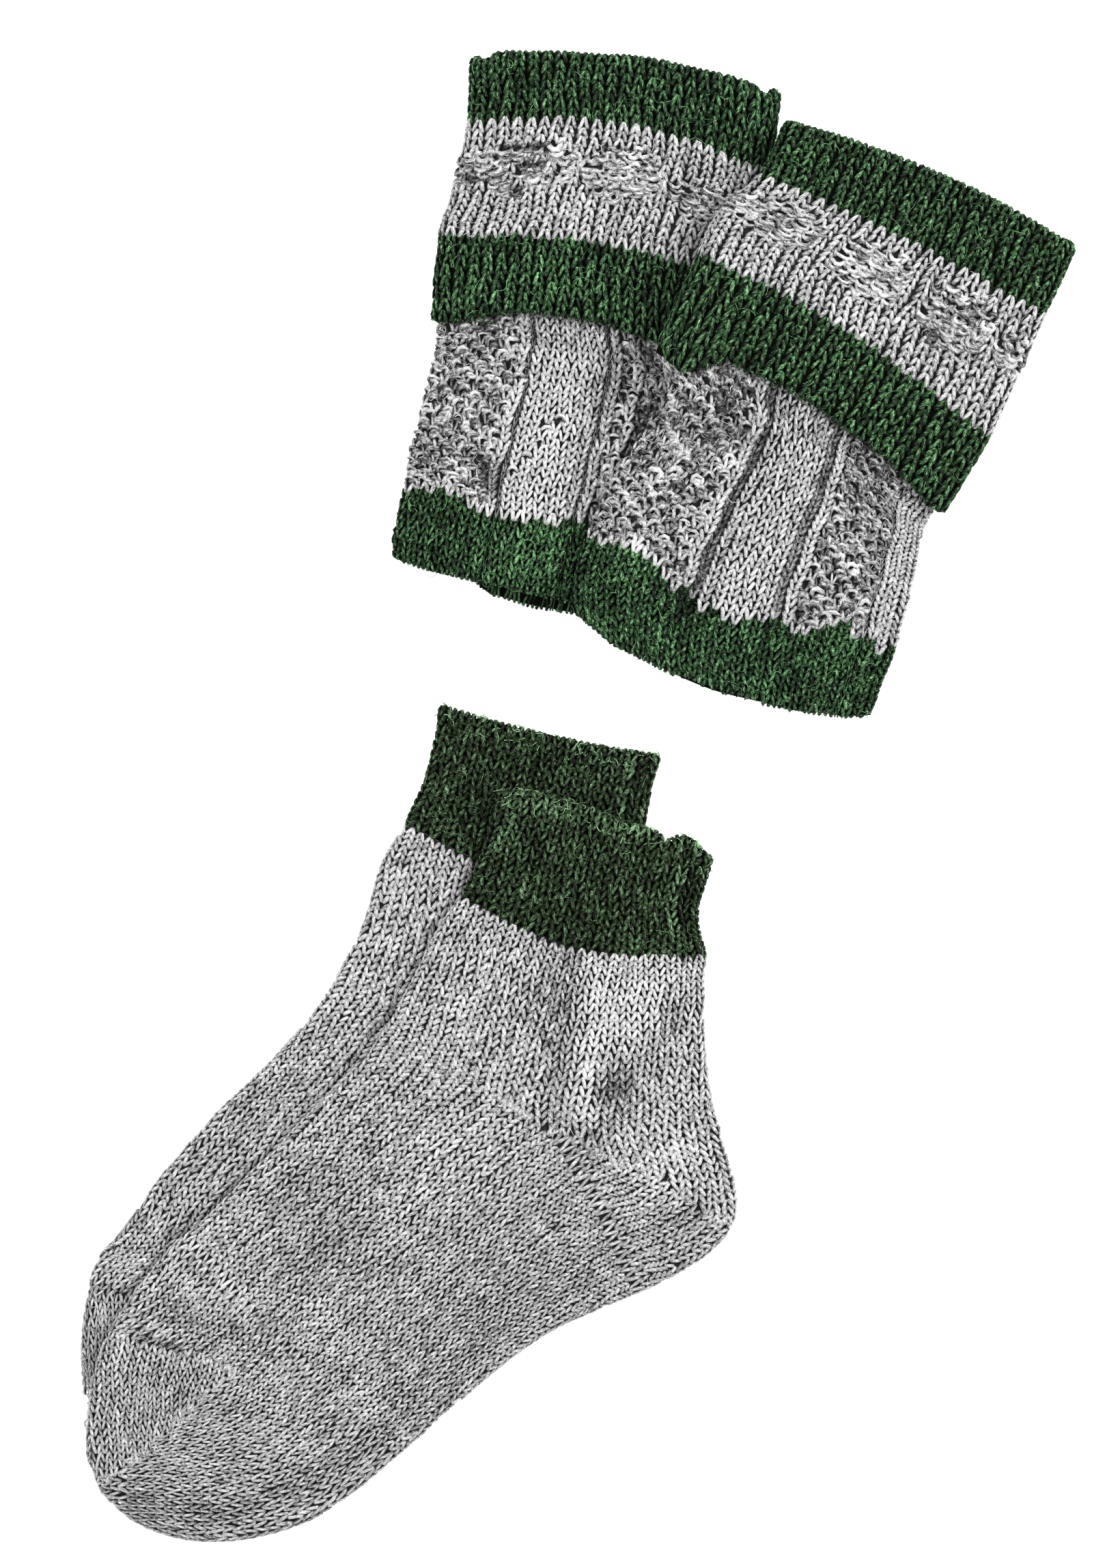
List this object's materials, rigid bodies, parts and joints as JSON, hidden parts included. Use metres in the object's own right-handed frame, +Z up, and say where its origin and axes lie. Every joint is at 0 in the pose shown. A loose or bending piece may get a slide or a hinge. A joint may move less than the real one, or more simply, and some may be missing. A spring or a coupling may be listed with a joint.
{
  "type": "pair of traditional socks with calf warmers",
  "caption": "Knitted ankle socks and footless calf warmers laid flat, one lying over the other, in grey wool with green cuffs, hems and turned-down tops.",
  "frame": {"origin": "centre of the base of the bounding box, on the surface that the garments lie on", "axes": "+Z up from the surface, +Y towards the cuffs and turned tops, +X to the right of the toes"},
  "size_m": [0.3332, 0.5008, 0.027],
  "materials": {
    "grey_wool": "light grey heather wool, hand-knit, matt and slightly hairy",
    "green_wool": "dark forest green heather wool, hand-knit, matt and slightly hairy"
  },
  "bodies": {
    "root": {"sock_under_cuff": "green_wool", "sock_under_body": "grey_wool", "sock_over_cuff": "green_wool", "sock_over_body": "grey_wool", "warmer_under_leg": "grey_wool", "warmer_under_hem": "green_wool", "warmer_under_turn_top": "green_wool", "warmer_under_turn_band": "grey_wool", "warmer_under_turn_edge": "green_wool", "warmer_over_leg": "grey_wool", "warmer_over_hem": "green_wool", "warmer_over_turn_top": "green_wool", "warmer_over_turn_band": "grey_wool", "warmer_over_turn_edge": "green_wool"}
  },
  "joints": []
}
